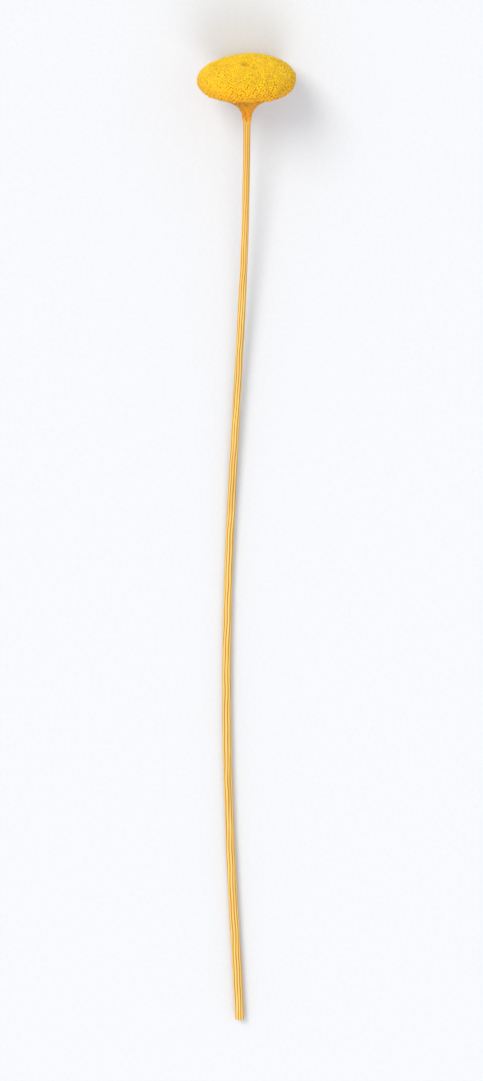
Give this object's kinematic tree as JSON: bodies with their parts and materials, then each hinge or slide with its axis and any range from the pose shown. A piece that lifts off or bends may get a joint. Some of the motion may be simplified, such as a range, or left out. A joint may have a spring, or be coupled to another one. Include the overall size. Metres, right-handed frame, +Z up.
{
  "type": "billy buttons stem",
  "caption": "Dried, dyed billy buttons stem, laid down: a flattened yellow button of tiny florets with a dimple, on a funnel of bracts and a slender ribbed stem.",
  "frame": {"origin": "middle of the bounding box's base, on the surface that the stem lies on", "axes": "+X along the stem towards the head, +Z up from the surface"},
  "size_m": [0.2998, 0.028, 0.0268],
  "materials": {
    "florets": "matt, velvety dyed florets, warm yellow with amber furrows",
    "bracts": "matt papery bracts, dyed a deeper orange",
    "dried_stem": "dry, finely ribbed, straw to amber, faintly waxy"
  },
  "bodies": {
    "root": {"floret_head": "florets", "involucre": "bracts", "stem": "dried_stem"}
  },
  "joints": []
}
